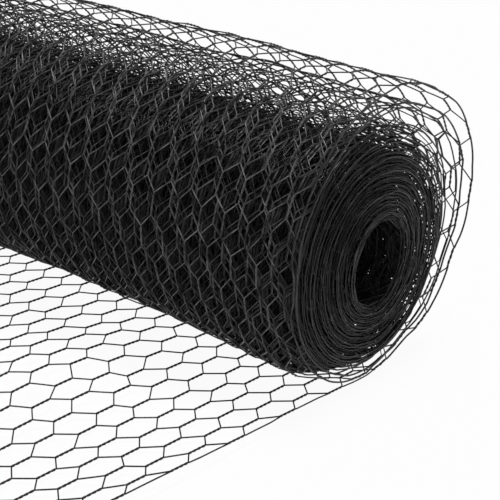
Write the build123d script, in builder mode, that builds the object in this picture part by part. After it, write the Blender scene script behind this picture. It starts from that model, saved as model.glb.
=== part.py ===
from math import cos, radians, sin
import os

from build123d import *

# Driving dimensions, in millimetres. The loose netting is a sheet as thick as a twist of two wires.
netting_width = 1000.0
sheet_thickness = 2.0
wound_radius = 100.0
bore_radius = 33.0
bore_drop = 8.0
ring_width = 3.5
ring_recess = 2.0

# The loose turns stand off most in this direction, measured from +Y towards +Z, and hug the
# winding on the opposite side.
slack_direction = 43.0
hug_clearance = 0.3
turn_gap = 0.8
inner_slack = 35.0
outer_slack = 52.0
floor_gap = 1.0
laid_length = 407.0

# Distances of the sheet's middle surface from the winding's axis: at the hugging side where the
# loose netting leaves the winding, one turn further out, and at the slack side for both turns.
hug_start = wound_radius + hug_clearance + sheet_thickness / 2
hug_next = hug_start + sheet_thickness + turn_gap
slack_first = wound_radius + inner_slack
slack_second = wound_radius + outer_slack

# A half turn's centre lies on the slack line, half way between its two ends.
centre_1 = (slack_first - hug_start) / 2
radius_1 = (slack_first + hug_start) / 2
centre_2 = (slack_first - hug_next) / 2
radius_2 = (slack_first + hug_next) / 2
centre_3 = (slack_second - hug_next) / 2
radius_3 = (slack_second + hug_next) / 2

# The inner loose turn passes just above the laid sheet, and that sets the height of the axis.
rise = sin(radians(slack_direction))
run = cos(radians(slack_direction))
axis_height = 1.5 * sheet_thickness + floor_gap + radius_2 - centre_2 * rise

# The last stretch comes down from the slack side and meets the floor level.
centre_4 = (slack_second + sheet_thickness / 2 - axis_height) / (1 + rise)
radius_4 = slack_second - centre_4

# The origin lies on the floor, at the middle of the whole length and width.
back_reach = centre_4 * run + radius_4 + sheet_thickness / 2
front_reach = laid_length - centre_4 * run
axis_y = (front_reach - back_reach) / 2
far_end = Plane.YZ.offset(-netting_width / 2)


def on_slack_line(distance):
    """A point on the slack line, at a distance from the winding's axis."""
    return (axis_y + distance * run, axis_height + distance * rise)


def half_turns(side):
    """The four arcs of one face of the loose sheet, side sheet thicknesses off its middle."""
    offset = side * sheet_thickness
    hug_direction = slack_direction + 180
    down = slack_direction + 90
    return [
        CenterArc(on_slack_line(centre_1), radius_1 + offset, hug_direction, -180),
        CenterArc(on_slack_line(centre_2), radius_2 + offset, slack_direction, -180),
        CenterArc(on_slack_line(centre_3), radius_3 + offset, hug_direction, -180),
        CenterArc(on_slack_line(centre_4), radius_4 + offset, slack_direction, -down),
    ]


# The winding: netting rolled up tight round an open bore. Its turns show on both ends as rings,
# each as broad as about three turns. The bore has sagged below the middle, and every ring between
# it and the outside has sagged in proportion.
recessed_rings = int((wound_radius - bore_radius) / ring_width / 2)
ring_count = 2 * recessed_rings + 1
ring_pitch = (wound_radius - bore_radius) / ring_count


def ring_circle(ring, mode=Mode.ADD):
    """The outline after a number of rings, counted from the bore."""
    drop = bore_drop * (1 - ring / ring_count)
    with Locations((axis_y, axis_height - drop)):
        Circle(bore_radius + ring * ring_pitch, mode=mode)


with BuildPart() as wound_roll:
    with BuildSketch(far_end):
        ring_circle(ring_count)
        ring_circle(0, Mode.SUBTRACT)
    extrude(amount=netting_width)
    # Every second ring ends a little short of its neighbours, so that the rings show.
    for recess_start in (-netting_width / 2, netting_width / 2 - ring_recess):
        for ring in range(2, ring_count, 2):
            with BuildSketch(Plane.YZ.offset(recess_start)):
                ring_circle(ring)
                ring_circle(ring - 1, Mode.SUBTRACT)
            extrude(amount=ring_recess, mode=Mode.SUBTRACT)
wound_roll.part.label = "wound_roll"

# The loose end: two slack turns that run down to the floor and out into the laid stretch.
with BuildPart() as loose_end:
    with BuildSketch(far_end):
        with BuildLine():
            outer_face = half_turns(0.5)
            inner_face = half_turns(-0.5)
            outer_tip = outer_face[-1] @ 1 - (laid_length, 0)
            inner_tip = inner_face[-1] @ 1 - (laid_length, 0)
            Line(outer_face[-1] @ 1, outer_tip)
            Line(outer_tip, inner_tip)
            Line(inner_tip, inner_face[-1] @ 1)
            Line(inner_face[0] @ 0, outer_face[0] @ 0)
        make_face()
    extrude(amount=netting_width)
loose_end.part.label = "loose_end"

os.makedirs("parts", exist_ok=True)
export_step(wound_roll.part, "parts/wound_roll.step")
export_step(loose_end.part, "parts/loose_end.step")
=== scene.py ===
from math import cos, radians, sin

import bpy
import numpy as np
from mathutils import Matrix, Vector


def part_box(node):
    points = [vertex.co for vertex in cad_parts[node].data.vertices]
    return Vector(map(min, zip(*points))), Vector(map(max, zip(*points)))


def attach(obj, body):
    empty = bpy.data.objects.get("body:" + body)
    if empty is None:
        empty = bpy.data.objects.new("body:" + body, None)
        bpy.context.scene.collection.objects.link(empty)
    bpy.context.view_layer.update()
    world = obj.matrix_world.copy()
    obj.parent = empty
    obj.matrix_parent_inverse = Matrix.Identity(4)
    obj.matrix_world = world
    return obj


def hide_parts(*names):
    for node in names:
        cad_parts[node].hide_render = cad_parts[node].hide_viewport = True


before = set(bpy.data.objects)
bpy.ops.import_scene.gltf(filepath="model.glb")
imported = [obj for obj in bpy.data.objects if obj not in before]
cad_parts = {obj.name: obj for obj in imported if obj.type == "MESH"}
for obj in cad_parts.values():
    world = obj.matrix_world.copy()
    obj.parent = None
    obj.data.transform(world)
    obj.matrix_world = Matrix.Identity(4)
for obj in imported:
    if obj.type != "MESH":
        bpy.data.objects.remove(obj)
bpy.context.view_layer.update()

# The room: a pale floor without seams, even daylight from all round, and one broad lamp high above,
# a little behind the roll. The photograph looks down along the roll at its near end, with a long lens.
camera_azimuth = radians(39.38)
camera_elevation = radians(22.22)
camera_roll = radians(2.11)
camera_place = (1.1214, -0.7987, 0.5646)
picture_side = 500
lens_in_pixels = 1436

camera = bpy.data.objects.new("camera", bpy.data.cameras.new("camera"))
bpy.context.scene.collection.objects.link(camera)
camera.data.lens = lens_in_pixels * camera.data.sensor_width / picture_side
across = np.array([cos(camera_azimuth), sin(camera_azimuth), 0])
backwards = np.array([
    sin(camera_azimuth) * cos(camera_elevation),
    -cos(camera_azimuth) * cos(camera_elevation),
    sin(camera_elevation),
])
upwards = np.cross(backwards, across)
turned_across = across * cos(camera_roll) + upwards * sin(camera_roll)
turned_upwards = upwards * cos(camera_roll) - across * sin(camera_roll)
facing = np.stack([turned_across, turned_upwards, backwards], axis=1)
camera.matrix_world = Matrix.Translation(camera_place) @ Matrix(facing.tolist()).to_4x4()
bpy.context.scene.camera = camera
bpy.context.scene.view_settings.view_transform = "Standard"

# The floor is round and flat, and far out it curves up a quarter circle into a low wall: the profile
# is carried once round the upright axis, and the middle is closed by one face.
middle_radius = 0.5
flat_radius = 7.0
cove_radius = 1.5
wall_top = 3.5
cove_points = 13
headings = 96
cove_angle = np.linspace(0, np.pi / 2, cove_points)
cove_out = flat_radius + cove_radius * np.sin(cove_angle)
profile_radius = np.concatenate([[middle_radius], cove_out, [flat_radius + cove_radius]])
profile_height = np.concatenate([[0], cove_radius * (1 - np.cos(cove_angle)), [wall_top]])
heading = np.arange(headings) * 2 * np.pi / headings
floor_points = np.stack([
    profile_radius[:, None] * np.cos(heading),
    profile_radius[:, None] * np.sin(heading),
    profile_height[:, None] + 0 * heading,
], axis=2).reshape(-1, 3)
number = np.arange(len(floor_points)).reshape(len(profile_radius), len(heading))
after = np.roll(number, -1, axis=1)
floor_faces = np.stack([number[:-1], number[1:], after[1:], after[:-1]], axis=2).reshape(-1, 4)
floor_mesh = bpy.data.meshes.new("floor")
floor_mesh.from_pydata(floor_points.tolist(), [], floor_faces.tolist() + [number[0].tolist()])
floor_mesh.shade_smooth()
floor = bpy.data.objects.new("floor", floor_mesh)
bpy.context.scene.collection.objects.link(floor)

# The floor shows white to the camera, in gloss and through glass, all but a small share of its own
# grey paint, which holds the shadow of the roll. It lights the roll by its paint alone.
floor_white = 0.95
floor_paint = bpy.data.materials.new("floor_paint")
floor_paint.use_nodes = True
paint_nodes = floor_paint.node_tree.nodes
paint_links = floor_paint.node_tree.links
floor_shader = paint_nodes["Principled BSDF"]
floor_shader.inputs["Base Color"].default_value = (0.6, 0.6, 0.6, 1)
floor_shader.inputs["Roughness"].default_value = 0.9
floor_shader.inputs["Specular IOR Level"].default_value = 0.0
backdrop_white = paint_nodes.new("ShaderNodeEmission")
backdrop_white.inputs["Color"].default_value = (1, 1, 1, 1)
backdrop_white.inputs["Strength"].default_value = 1.0
seen = paint_nodes.new("ShaderNodeLightPath")
seen_or_mirrored = paint_nodes.new("ShaderNodeMath")
seen_or_mirrored.operation = "MAXIMUM"
paint_links.new(seen.outputs["Is Camera Ray"], seen_or_mirrored.inputs[0])
paint_links.new(seen.outputs["Is Glossy Ray"], seen_or_mirrored.inputs[1])
seen_at_all = paint_nodes.new("ShaderNodeMath")
seen_at_all.operation = "MAXIMUM"
paint_links.new(seen_or_mirrored.outputs[0], seen_at_all.inputs[0])
paint_links.new(seen.outputs["Is Transmission Ray"], seen_at_all.inputs[1])
white_share = paint_nodes.new("ShaderNodeMath")
white_share.operation = "MULTIPLY"
white_share.inputs[1].default_value = floor_white
paint_links.new(seen_at_all.outputs[0], white_share.inputs[0])
floor_mix = paint_nodes.new("ShaderNodeMixShader")
paint_links.new(white_share.outputs[0], floor_mix.inputs[0])
paint_links.new(floor_shader.outputs[0], floor_mix.inputs[1])
paint_links.new(backdrop_white.outputs[0], floor_mix.inputs[2])
paint_links.new(floor_mix.outputs[0], paint_nodes["Material Output"].inputs["Surface"])
floor_mesh.materials.append(floor_paint)

daylight = bpy.data.worlds.new("daylight")
bpy.context.scene.world = daylight
daylight.use_nodes = True
sky = daylight.node_tree.nodes["Background"]
sky.inputs["Color"].default_value = (1, 1, 1, 1)
sky.inputs["Strength"].default_value = 0.22

lamp = bpy.data.objects.new("lamp", bpy.data.lights.new("lamp", "SUN"))
bpy.context.scene.collection.objects.link(lamp)
lamp.data.energy = 3.3
lamp.data.angle = radians(16)
lamp.rotation_euler = (radians(-13), 0, radians(20))

# The laid stretch: the free end of one web of wire netting, cut off square and run out flat over the
# floor. Its wires are steel under black plastic. They are twisted together in pairs into hexagons,
# with a selvedge wire along each edge, and the web lies by its own weight.

# Each zigzag wire is twisted twice round its left neighbour, crosses over, and is twisted twice round
# its right one. The web is laid out on a flat sheet first, and bent round the roll afterwards. It is
# counted in half pitches along its length, each a twist and the gap behind it, and it is cut through
# where first_half begins. Each row of twists runs a little askew.
netting_low, netting_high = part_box("wound_roll")
half_width = netting_high.x
column_spacing = 0.0125
columns = round(2 * half_width / column_spacing) + 1
wires = columns + 1
half_pitch = 0.03221
twist_length = 0.02027
first_half = 6
first_twist = 0.01415
row_skew = 0.0043
wire_radius = 0.0005
turns_in_twist = 2

# Every twist strays from its even place: along the netting, across it, and out of its plane. There
# are places for more half pitches than the netting has.
twist_seed = 11
most_halves = 900
twist_shift = np.random.default_rng(twist_seed).normal(size=(columns, most_halves, 3))


def weave(which, first, last, in_twist, in_gap, shift):
    """Middle lines of some wires from half pitch first to last, as (along, across, out of plane).

    In a twist the wire circles the twist's middle line at one wire radius, and its partner does so
    half a circle later. In a gap it runs straight to the neighbouring twist. The selvedge wires have
    no neighbour outside, and stay straight there. in_twist and in_gap are the fractions of a twist
    and of a gap at which points are taken, and shift is how far twists stray on the three axes.
    """
    half = np.arange(first, last + 1)
    wire = which[:, None]
    ahead = (half - wire) % 2 == 0
    column = np.where(ahead, wire, wire - 1)
    straight = (column < 0) | (column >= columns)
    side = np.where(ahead ^ straight, 1.0, -1.0)[:, :, None]
    column = np.clip(column, 0, columns - 1)
    place = twist_shift[column, half] * shift
    circled = np.where(straight, 0.0, 2 * np.pi * turns_in_twist)[:, :, None] * in_twist
    along = first_twist + (half[None, :, None] - first_half) * half_pitch
    along = along + twist_length * in_twist + place[:, :, 0:1]
    from_edge = column[:, :, None] * column_spacing
    along = along + row_skew * from_edge
    sideways = half_width - from_edge + place[:, :, 1:2]
    sideways = sideways + side * wire_radius * np.cos(circled)
    outwards = place[:, :, 2:3] + side * wire_radius * np.sin(circled)
    along = np.broadcast_to(along, sideways.shape)
    twisted = np.stack([along, sideways, outwards], axis=3)
    here = twisted[:, :-1, -1:, :]
    there = twisted[:, 1:, :1, :]
    gap = here + (there - here) * in_gap[:, None]
    line = np.concatenate([twisted[:, :-1], gap], axis=2).reshape(len(which), -1, 3)
    return np.concatenate([line, twisted[:, -1, :1]], axis=1)


# The netting's way, seen from the end: flat along the floor, up the back, over and round in four
# slack turns, and then on as the tight winding down to the bore. The bore has sagged, is a little oval,
# and stands a little out of the end seen in front. The laid stretch lies one wire's breadth up.
axis_y = (netting_low.y + netting_high.y) / 2
axis_z = (netting_low.z + netting_high.z) / 2
bore_radius = 0.034
bore_drop = 0.0067
bore_proud = 0.005
bore_squash = 0.0035
squash_direction = 70
turn_spacing = 0.00127
cut_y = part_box("loose_end")[0].y
above_floor = 2 * wire_radius
first_radius = 0.104
last_turn = 1 + (first_radius - bore_radius) / turn_spacing

# How far each turn stands off where it is slackest, in millimetres from the outermost inwards, halfway
# along the roll and at its ends. A turn begins at the bottom, and is slackest a third of the way round.
# Then the share of it that shows in each direction from the axis, in degrees from +Y towards +Z: one
# set for the two outer turns, and one for the inner turns, which stand off mostly on top.
middle_standoffs = np.array([
    50, 37.7, 27.1, 20.1, 10.9, 8.2, 6.4, 5.2, 4.3, 3.5, 3, 2.6, 2.2, 2, 1.5, 1, 0.5, 0,
]) / 1000
end_standoffs = np.array([
    47, 32.8, 26.6, 11, 8.4, 5.6, 3.4, 1.2, -0.5, -1.8, -2.2, -2.4, -2.5, -2.2, -1.8, -1.2, -0.6, 0,
]) / 1000
share_directions = (-90, -60, -43, -30, -15, -5, 5, 20, 42, 62, 80, 110, 140, 180, 238, 270)
outer_shares = (0, 0, 0.2, 0.32, 0.37, 0.62, 0.7, 0.96, 1, 0.82, 0.8, 0.6, 0.3, 0.08, 0, 0)
inner_shares = (0, 0, 0, 0, 0.05, 0.12, 0.25, 0.5, 0.85, 1, 1, 0.85, 0.5, 0.15, 0, 0)
slackest_place = 0.35
bottom = -90
outer_until = 1.9
change_over = 1.2

# How far the netting hangs below the even winding after so many turns, in millimetres, read in the same
# way. The turns are pressed together there, under the front of the roll. They bulge out more near its
# ends, and at the very ends the third to the tenth turn are tucked in under the back.
sagging_turns = (0, 1, 2, 3, 4, 5, 6, 8, 10, 12, 16, 20, 25, 30, 40, 50, 57)
middle_sags = np.array([
    0, 3.8, 5, 5.9, 6.9, 8, 9, 11.1, 13.1, 15, 18.1, 19.5, 18.9, 17.2, 12.5, 5, 0,
]) / 1000
end_sags = np.array([0, 6.5, 3, 0.5, 0, 0, 0, 0, 0, 0, 0, 0, 0, 0, 0, 0, 0]) / 1000
end_tucks = np.array([0, 0, 2.2, 5.5, 6.8, 5.6, 4.6, 3, 1.6, 0.7, 0, 0, 0, 0, 0, 0, 0]) / 1000
sag_directions = (180, 200, 220, 238, 255, 270, 285, 300, 310)
sag_shares = (0.04, 0.25, 0.75, 1, 1, 0.95, 0.5, 0.12, 0)
bulge_directions = (190, 205, 220, 230, 240, 250, 260, 270, 285)
bulge_shares = (0, 0.2, 0.65, 0.95, 1, 0.75, 0.4, 0.15, 0)
tuck_directions = (235, 255, 270, 285, 300, 335, 350, 365)
tuck_shares = (0.1, 0.2, 0.35, 0.7, 1, 0.9, 0.4, 0)
first_below = 130


def bell(value, middle, spread):
    """A bell curve: one at the middle, 0.6 one spread away, and next to nothing beyond three."""
    return np.exp(-((value - middle) / spread) ** 2 / 2)


def slack_share(direction, turn):
    """The share of a turn's standoff that shows in a direction: read between the values above, and
    passing evenly from the outer ones to the inner ones round the third turn."""
    around = np.mod(direction - bottom, 360) + bottom
    outer = np.interp(around, share_directions, outer_shares)
    inner = np.interp(around, share_directions, inner_shares)
    return outer + (inner - outer) * np.clip((turn - outer_until) / change_over, 0, 1)


def share_below(direction, directions, shares):
    """The share of a sag, bulge or tuck that shows in a direction: read between the values given,
    and nothing beyond them. Directions are counted once round from first_below, on past 360."""
    around = np.mod(direction - first_below, 360) + first_below
    return np.interp(around, directions, shares, left=0, right=0)


# The way is a spiral about the axis, with a point every two degrees: the even winding and the share
# of standoff and sag in each direction, rounded off over a few points. The laid stretch leads to it as
# one straight step, and counts as a little less than no turn at its cut end.
angle_step = 2.0
turn_angle = np.arange(0, last_turn * 360 + angle_step, angle_step)
turn_number = turn_angle / 360
plain_radius = np.interp(
    turn_number,
    [0, 1, last_turn],
    [axis_z - above_floor, first_radius, bore_radius],
)
slackest_turns = np.arange(len(end_standoffs)) + slackest_place
standoff = np.interp(turn_number, slackest_turns, middle_standoffs)
sag = np.interp(turn_number, sagging_turns, middle_sags)
turn_direction = turn_angle + bottom
turn_radius = plain_radius + standoff * slack_share(turn_direction, turn_number)
turn_radius = turn_radius + sag * share_below(turn_direction, sag_directions, sag_shares)
rounded_points = 9
rounding = np.hanning(rounded_points) / np.hanning(rounded_points).sum()
away_from_ends = slice(8, -8)
turn_radius[away_from_ends] = np.convolve(turn_radius, rounding, mode="same")[away_from_ends]
depth = np.clip((first_radius - plain_radius) / (first_radius - bore_radius), 0, 1)
turn_y = axis_y + turn_radius * np.cos(np.radians(turn_direction))
turn_z = axis_z - bore_drop * depth + turn_radius * np.sin(np.radians(turn_direction))
way_y = np.concatenate([[cut_y], turn_y])
way_z = np.concatenate([[above_floor], turn_z])
step_lengths = np.hypot(np.diff(way_y), np.diff(way_z))
way_length = np.concatenate([[0], np.cumsum(step_lengths)])
before_turns = -0.01
way_turn = np.concatenate([[before_turns], turn_number])
laid_length = way_length[1]
slope_y = np.gradient(way_y[1:], way_length[1:])
slope_z = np.gradient(way_z[1:], way_length[1:])
out_y = np.concatenate([[0], slope_z])
out_z = np.concatenate([[-1], -slope_y])


def ripple(along, sideways, wavelength, seed):
    """The sum of six sines, each a third high, with random directions and phases and wavelengths
    from a little under to twice the one given. It mostly swings between -1 and 1."""
    waves = np.random.default_rng(seed)
    total = 0
    for _ in range(6):
        heading = waves.uniform(0, 2 * np.pi)
        length = wavelength * waves.uniform(0.8, 2.0)
        phase = waves.uniform(0, 2 * np.pi)
        travelled = along * np.cos(heading) + sideways * np.sin(heading)
        total = total + np.sin(2 * np.pi * travelled / length + phase) / 3
    return total


# The laid stretch curls up along the edge seen in front, more so towards its cut end, and low swells
# cross it. Places and spreads in pairs are counted from that edge, and from the roll. The far part of
# it swells unevenly, and all of it lies flat where it runs in under the roll.
curl_height = 0.0156
curl_reach = 0.045
curl_run = 0.343
swell_heights = (0.012, 0.015)
swell_places = ((0.192, 0.196), (0.342, 0.348))
swell_spreads = ((0.045, 0.088), (0.089, 0.275))
far_swell_height = 0.006
far_swell_place = 0.75
far_swell_spread = 0.18
far_swell_wavelength = 0.3
far_swell_seed = 3
swell_start = 0.03

# At the roll's ends the slack and the sag of the turns change over these lengths, and in front the
# turns bulge out just within them, the outer ones in full and the inner ones less and less. All this
# sets in as the netting rises off the floor. The loose turns ripple, and the edges of all turns wander.
rising_turn = 0.1
end_slack_reach = 0.1
end_reach = 0.018
bulge_height = 0.0163
bulge_reach = 0.101
bulging_turns = (16, 45)
loose_turns = (0, 0.15, 1, 2, 3, 5)
looseness = (0, 0.0013, 0.0015, 0.0015, 0.001, 0.0004)
loose_wavelength = 0.16
loose_seed = 5
uneven_ends = 0.0016
uneven_step = 0.3
uneven_wavelength = 0.5
uneven_seed = 8
lowest_middle = 1.5 * wire_radius

# Dust lies on the front of the outermost turn, and less of it on its top and back and on the loose
# turns below; the lighter front is painted light as well as dust. The laid stretch is nearly clean.
# The selvedges and the netting within the roll are nearly clean too, which is painted shade: the
# roll's ends and the turns within are painted dark, as if in shade.
dust_light_shade_turns = (0, 0.3, 1.1, 2.2, 4, 8)
dust_light_shade_levels = (0.05, 1, 1, 0.7, 0.6, 0.1)
dust_light_shade_directions = (0, 85, 125, 235, 270, 360)
dust_light_shade_shares = (0.45, 0.45, 1, 1, 0.5, 0.45)
# Painted shade on the roll's ends: the share falls within this reach of them, by this much.
end_shade_reach = 0.006
painted_end_shade = 0.8


def bend(line):
    """Takes (along, across, out of plane) on the flat sheet to the roll.

    Along is measured on the netting's way, and out of plane follows its outward direction. Taken
    from out of plane are the curl and swells of the laid stretch, where outward is down, what the
    slack and sag of the turns lose towards the roll's ends, and their tuck. Added are their bulge,
    a slow ripple of the loose turns, and the bore's oval, which grows with the fourth power of the
    turn. Across, the turns shift evenly towards +X from the outermost to the bore, and wander. It
    also returns the outward directions and the share of dust, painted light and painted shade.
    """
    along, sideways, outwards = line[..., 0], line[..., 1], line[..., 2]
    turn = np.interp(along, way_length, way_turn)
    from_edge = half_width - sideways
    ahead = laid_length - along
    lift = curl_height * np.exp(-from_edge / curl_reach) * np.clip(ahead / curl_run, 0, 1)
    for height, place, spread in zip(swell_heights, swell_places, swell_spreads):
        lift = lift + height * bell(from_edge, place[0], spread[0]) * bell(ahead, place[1], spread[1])
    far_swell = bell(from_edge, far_swell_place, far_swell_spread)
    far_ripple = ripple(along, sideways, far_swell_wavelength, far_swell_seed)
    lift = lift + far_swell_height * (1 + far_ripple) * far_swell
    outwards = outwards - lift * np.clip(ahead / swell_start, 0, 1)
    direction = np.mod(turn * 360 + bottom, 360)
    from_end = half_width - np.abs(sideways)
    off_floor = np.clip(turn / rising_turn, 0, 1)
    near_end = bell(from_end, 0, end_slack_reach)
    less_slack = near_end * np.interp(turn, slackest_turns, middle_standoffs - end_standoffs)
    at_end = bell(from_end, 0, end_reach)
    less_sag = at_end * np.interp(turn, sagging_turns, middle_sags - end_sags)
    bulge = bulge_height * np.exp(-from_end / bulge_reach) * (1 - at_end)
    bulge = bulge * np.interp(turn, bulging_turns, (1, 0))
    tuck = at_end * np.interp(turn, sagging_turns, end_tucks)
    outwards = outwards - less_slack * slack_share(direction, turn) * off_floor
    outwards = outwards - less_sag * share_below(direction, sag_directions, sag_shares) * off_floor
    outwards = outwards + bulge * share_below(direction, bulge_directions, bulge_shares) * off_floor
    outwards = outwards - tuck * share_below(direction, tuck_directions, tuck_shares)
    swing = np.interp(turn, loose_turns, looseness)
    outwards = outwards + swing * ripple(along, sideways, loose_wavelength, loose_seed)
    inwards = np.clip(turn / last_turn, 0, 1)
    squash = bore_squash * inwards ** 4
    outwards = outwards + squash * np.cos(2 * np.radians(direction - squash_direction))
    wander = ripple(turn * uneven_step, 0 * turn, uneven_wavelength, uneven_seed)
    shifted = sideways + bore_proud * inwards + uneven_ends * wander * np.clip(turn, 0, 1)
    way = np.stack([
        shifted,
        np.interp(along, way_length, way_y),
        np.interp(along, way_length, way_z),
    ], axis=-1)
    out = np.stack([
        0 * along,
        np.interp(along, way_length, out_y),
        np.interp(along, way_length, out_z),
    ], axis=-1)
    out = out / np.linalg.norm(out, axis=-1, keepdims=True)
    middle = way + out * outwards[..., None]
    middle[..., 2] = np.maximum(middle[..., 2], lowest_middle)
    # The share is dust, and painted light on the front of the outer turns and painted shade on the turns
    # within.
    dust_light_and_shade = np.interp(turn, dust_light_shade_turns, dust_light_shade_levels) * np.interp(direction, dust_light_shade_directions, dust_light_shade_shares)
    # Near the roll's ends the share falls, which is painted shade on the ends.
    return middle, out, dust_light_and_shade * (1 - painted_end_shade * bell(from_end, 0, end_shade_reach))


def make_wires(name, node, sides, parts):
    """A piece of round wires that takes a solid's place.

    Each part is a set of middle lines on the flat sheet, and the breadth to draw as a multiple of
    the wire's own. A regular polygon is carried along each line, square to it, and closed at both
    ends. It is drawn larger, so that its outline is as long as the round wire's. The share of dust,
    painted light and painted shade is stored at every corner.
    """
    corners, dust_light_and_shade, quads, caps = [], [], [], []
    start = 0
    for line, breadth in parts:
        middle, out, corner_dust_light_and_shade = bend(line)
        run = np.gradient(middle, axis=1)
        run = run / np.linalg.norm(run, axis=-1, keepdims=True)
        first_axis = np.cross(run, out)
        first_axis = first_axis / np.linalg.norm(first_axis, axis=-1, keepdims=True)
        second_axis = np.cross(first_axis, run)
        radius = breadth * wire_radius * np.pi / (sides * np.sin(np.pi / sides))
        angle = 2 * np.pi * np.arange(sides) / sides
        ring = (
            first_axis[:, :, None, :] * np.cos(angle)[:, None]
            + second_axis[:, :, None, :] * np.sin(angle)[:, None]
        )
        corner = middle[:, :, None, :] + radius * ring
        count, length = line.shape[:2]
        number = start + np.arange(count * length * sides).reshape(count, length, sides)
        after = np.roll(number, -1, axis=2)
        quad = np.stack([number[:, :-1], number[:, 1:], after[:, 1:], after[:, :-1]], axis=-1)
        corners.append(corner.reshape(-1, 3))
        dust_light_and_shade.append(np.repeat(corner_dust_light_and_shade.ravel(), sides))
        quads.append(quad.reshape(-1, 4))
        caps.append(number[:, 0])
        caps.append(number[:, -1, ::-1])
        start += count * length * sides
    corners = np.concatenate(corners)
    quads = np.concatenate(quads)
    caps = np.concatenate(caps)
    loops = np.concatenate([quads.ravel(), caps.ravel()])
    sizes = np.concatenate([np.full(len(quads), 4), np.full(len(caps), sides)])
    mesh = bpy.data.meshes.new(name)
    mesh.vertices.add(len(corners))
    mesh.vertices.foreach_set("co", corners.astype(np.float32).ravel())
    mesh.loops.add(len(loops))
    mesh.loops.foreach_set("vertex_index", loops.astype(np.int32))
    mesh.polygons.add(len(sizes))
    loop_starts = np.concatenate([[0], np.cumsum(sizes)[:-1]])
    mesh.polygons.foreach_set("loop_start", loop_starts.astype(np.int32))
    mesh.update(calc_edges=True)
    mesh.shade_smooth()
    # The share of dust, painted light and painted shade, kept at every corner.
    mesh.attributes.new("dust_light_and_shade", "FLOAT", "POINT")
    mesh.attributes["dust_light_and_shade"].data.foreach_set("value", np.concatenate(dust_light_and_shade).astype(np.float32))
    mesh.materials.append(coated_wire)
    piece = bpy.data.objects.new(name, mesh)
    bpy.context.scene.collection.objects.link(piece)
    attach(piece, "root")
    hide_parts(node)


# The coating: black plastic with a satin gloss. Where the share of dust and painted light is high,
# its tone wanders from jet black to grey over one or two centimetres. Where it is low, the coat is
# jet black, and that is painted shade as well. Its gloss wanders over a few millimetres, and it is
# finely pimpled.
coated_wire = bpy.data.materials.new("coated_wire")
coated_wire.use_nodes = True
coat_nodes = coated_wire.node_tree.nodes
coat_links = coated_wire.node_tree.links
coat_shader = coat_nodes["Principled BSDF"]
coat_shader.inputs["Specular IOR Level"].default_value = 0.36
coat_place = coat_nodes.new("ShaderNodeTexCoord")

tone_noise = coat_nodes.new("ShaderNodeTexNoise")
tone_noise.inputs["Scale"].default_value = 70.0
tone_noise.inputs["Detail"].default_value = 3.0
tone_noise.inputs["Roughness"].default_value = 0.7
coat_links.new(coat_place.outputs["Object"], tone_noise.inputs["Vector"])
tone = coat_nodes.new("ShaderNodeValToRGB")
tone.color_ramp.elements[0].position = 0.36
tone.color_ramp.elements[0].color = (0.01, 0.01, 0.0105, 1)
tone.color_ramp.elements[1].position = 0.64
tone.color_ramp.elements[1].color = (0.2, 0.2, 0.197, 1)
coat_links.new(tone_noise.outputs["Fac"], tone.inputs["Fac"])
# The stored share mixes the dusty tone in: dust, painted light on the front and painted shade within the
# roll.
dust_light_shade_amount = coat_nodes.new("ShaderNodeAttribute")
dust_light_shade_amount.attribute_name = "dust_light_and_shade"
dust_light_shade_mix = coat_nodes.new("ShaderNodeMix")
dust_light_shade_mix.data_type = "RGBA"
dust_light_shade_mix.inputs["A"].default_value = (0.004, 0.004, 0.0043, 1)
coat_links.new(dust_light_shade_amount.outputs["Fac"], dust_light_shade_mix.inputs["Factor"])
coat_links.new(tone.outputs["Color"], dust_light_shade_mix.inputs["B"])
coat_links.new(dust_light_shade_mix.outputs["Result"], coat_shader.inputs["Base Color"])

gloss_noise = coat_nodes.new("ShaderNodeTexNoise")
gloss_noise.inputs["Scale"].default_value = 300.0
gloss_noise.inputs["Detail"].default_value = 2.0
coat_links.new(coat_place.outputs["Object"], gloss_noise.inputs["Vector"])
gloss = coat_nodes.new("ShaderNodeMapRange")
gloss.inputs["From Min"].default_value = 0.3
gloss.inputs["From Max"].default_value = 0.7
gloss.inputs["To Min"].default_value = 0.27
gloss.inputs["To Max"].default_value = 0.47
coat_links.new(gloss_noise.outputs["Fac"], gloss.inputs["Value"])
coat_links.new(gloss.outputs["Result"], coat_shader.inputs["Roughness"])

pimple_noise = coat_nodes.new("ShaderNodeTexNoise")
pimple_noise.inputs["Scale"].default_value = 2500.0
coat_links.new(coat_place.outputs["Object"], pimple_noise.inputs["Vector"])
pimples = coat_nodes.new("ShaderNodeBump")
pimples.inputs["Strength"].default_value = 0.25
pimples.inputs["Distance"].default_value = 0.0001
coat_links.new(pimple_noise.outputs["Fac"], pimples.inputs["Height"])
coat_links.new(pimples.outputs["Normal"], coat_shader.inputs["Normal"])


def halves_at(turn):
    """The half pitch that begins nearest to a turn of the netting's way."""
    along = np.interp(turn, way_turn, way_length)
    return int(round((along - first_twist) / half_pitch)) + first_half


every_wire = np.arange(wires)
fine_twist = np.linspace(0, 1, 9)
bent_gap = np.array([0.12, 0.5, 0.88])
laid_shift = np.array([0.0009, 0.0006, 0.0003])
laid_sides = 5
laid_breadth = 1.22
turn_0 = halves_at(0)
make_wires("laid_stretch", "loose_end", laid_sides, [
    (weave(every_wire, first_half, turn_0, fine_twist, bent_gap, laid_shift), laid_breadth),
])

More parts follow.
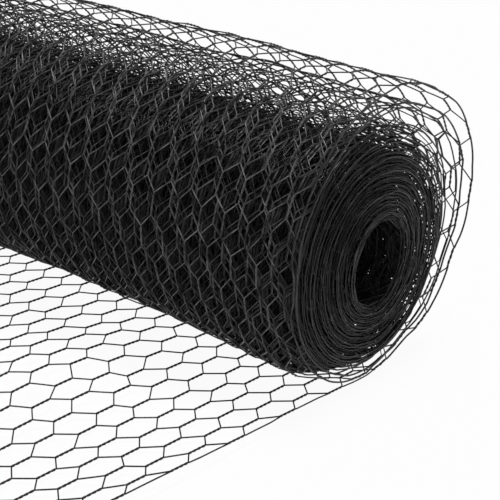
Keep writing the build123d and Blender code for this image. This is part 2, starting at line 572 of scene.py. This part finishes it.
# The outermost turn: the same web where it rises off the floor behind the roll and goes round it
# once. The spring of its own wires holds it off the winding on top and behind.
edge_wires = np.array([0, wires - 1])
inland_wires = np.arange(1, wires - 1)
one_in_gap = np.array([0.5])
slack_shift = np.array([0.0007, 0.0006, 0.0005])
turn_sides = 3
slack_edge_breadth = 1.6
outermost_breadth = 1.15
turn_1 = halves_at(1)
make_wires("outermost_turn", "loose_end", turn_sides, [
    (weave(edge_wires, turn_0, turn_1, fine_twist, one_in_gap, slack_shift), slack_edge_breadth),
    (weave(inland_wires, turn_0, turn_1, fine_twist, one_in_gap, slack_shift), outermost_breadth),
])

# The second turn: the web's next lap, of the same wires, and slack in the same way. It lies against
# the outermost turn under the front of the roll, and inside it on top.
plain_twist = np.linspace(0, 1, 5)
second_breadth = 1.3
turn_2 = halves_at(2)
make_wires("second_turn", "loose_end", turn_sides, [
    (weave(edge_wires, turn_1, turn_2, plain_twist, one_in_gap, slack_shift), slack_edge_breadth),
    (weave(inland_wires, turn_1, turn_2, plain_twist, one_in_gap, slack_shift), second_breadth),
])

# The third and fourth turns: two more laps of the web, which have sprung open less. Their wires are
# seen through the outer laps, so each twist is drawn in two steps.
halved_twist = np.array([0, 0.5, 1])
none_in_gap = np.zeros(0)
inner_edge_breadth = 1.3
inner_breadth = 1.0
turn_4 = halves_at(4)
make_wires("inner_slack_turns", "loose_end", turn_sides, [
    (weave(edge_wires, turn_2, turn_4, halved_twist, none_in_gap, slack_shift), inner_edge_breadth),
    (weave(inland_wires, turn_2, turn_4, halved_twist, none_in_gap, slack_shift), inner_breadth),
])

# The outer turns of the winding: six laps of the web, wound tight over one another. On the roll's
# ends their selvedge wires are seen as rings, with the next four wires dark in between.
next_wires = np.arange(1, 5)
end_wires = np.concatenate([next_wires, wires - 1 - next_wires[::-1]])
hidden_wires = np.arange(5, wires - 5)
straight_twist = np.array([0.0, 1.0])
stepped_twist = np.array([0, 0.35, 0.7, 1])
wound_shift = np.array([0.0006, 0.0005, 0.0003])
outer_ring_breadth = 1.0
end_breadth = 1.45
outer_breadth = 0.7
turn_10 = halves_at(10)
make_wires("outer_wound_turns", "wound_roll", turn_sides, [
    (weave(edge_wires, turn_4, turn_10, stepped_twist, none_in_gap, wound_shift), outer_ring_breadth),
    (weave(end_wires, turn_4, turn_10, straight_twist, none_in_gap, wound_shift), end_breadth),
    (weave(hidden_wires, turn_4, turn_10, straight_twist, none_in_gap, wound_shift), outer_breadth),
])

# The middle turns of the winding: six more laps of the same web, under the outer ones. They show on
# the ends, and as dark netting through the laps above them.
middle_ring_breadth = 0.85
middle_breadth = 1.1
turn_16 = halves_at(16)
make_wires("middle_wound_turns", "wound_roll", turn_sides, [
    (weave(edge_wires, turn_10, turn_16, stepped_twist, none_in_gap, wound_shift), middle_ring_breadth),
    (weave(end_wires, turn_10, turn_16, straight_twist, none_in_gap, wound_shift), end_breadth),
    (weave(hidden_wires, turn_10, turn_16, straight_twist, none_in_gap, wound_shift), middle_breadth),
])

# The inner turns of the winding, down to the open bore, which has no tube in it. All of them show on
# the roll's ends, and the last five line the bore over the whole width.
lining_turns = 5
inner_ring_breadth = 0.65
inner_end_breadth = 1.2
lining_breadth = 1.25
lining_half = halves_at(last_turn - lining_turns)
last_half = halves_at(last_turn) - 1
make_wires("inner_wound_turns", "wound_roll", turn_sides, [
    (weave(edge_wires, turn_16, last_half, stepped_twist, none_in_gap, wound_shift), inner_ring_breadth),
    (weave(end_wires, turn_16, last_half, straight_twist, none_in_gap, wound_shift), inner_end_breadth),
    (weave(hidden_wires, lining_half, last_half, halved_twist, none_in_gap, wound_shift), lining_breadth),
])

# The same inner turns away from the ends: the same netting, shut in by the turns over and under it.
# It is drawn as plain zigzag wires, thick enough to let as little light through as the twists do.
twist_middle = np.array([0.5])
zigzag_breadth = 2.4
make_wires("hidden_wound_turns", "wound_roll", turn_sides, [
    (weave(hidden_wires, turn_16, lining_half, twist_middle, none_in_gap, wound_shift), zigzag_breadth),
])
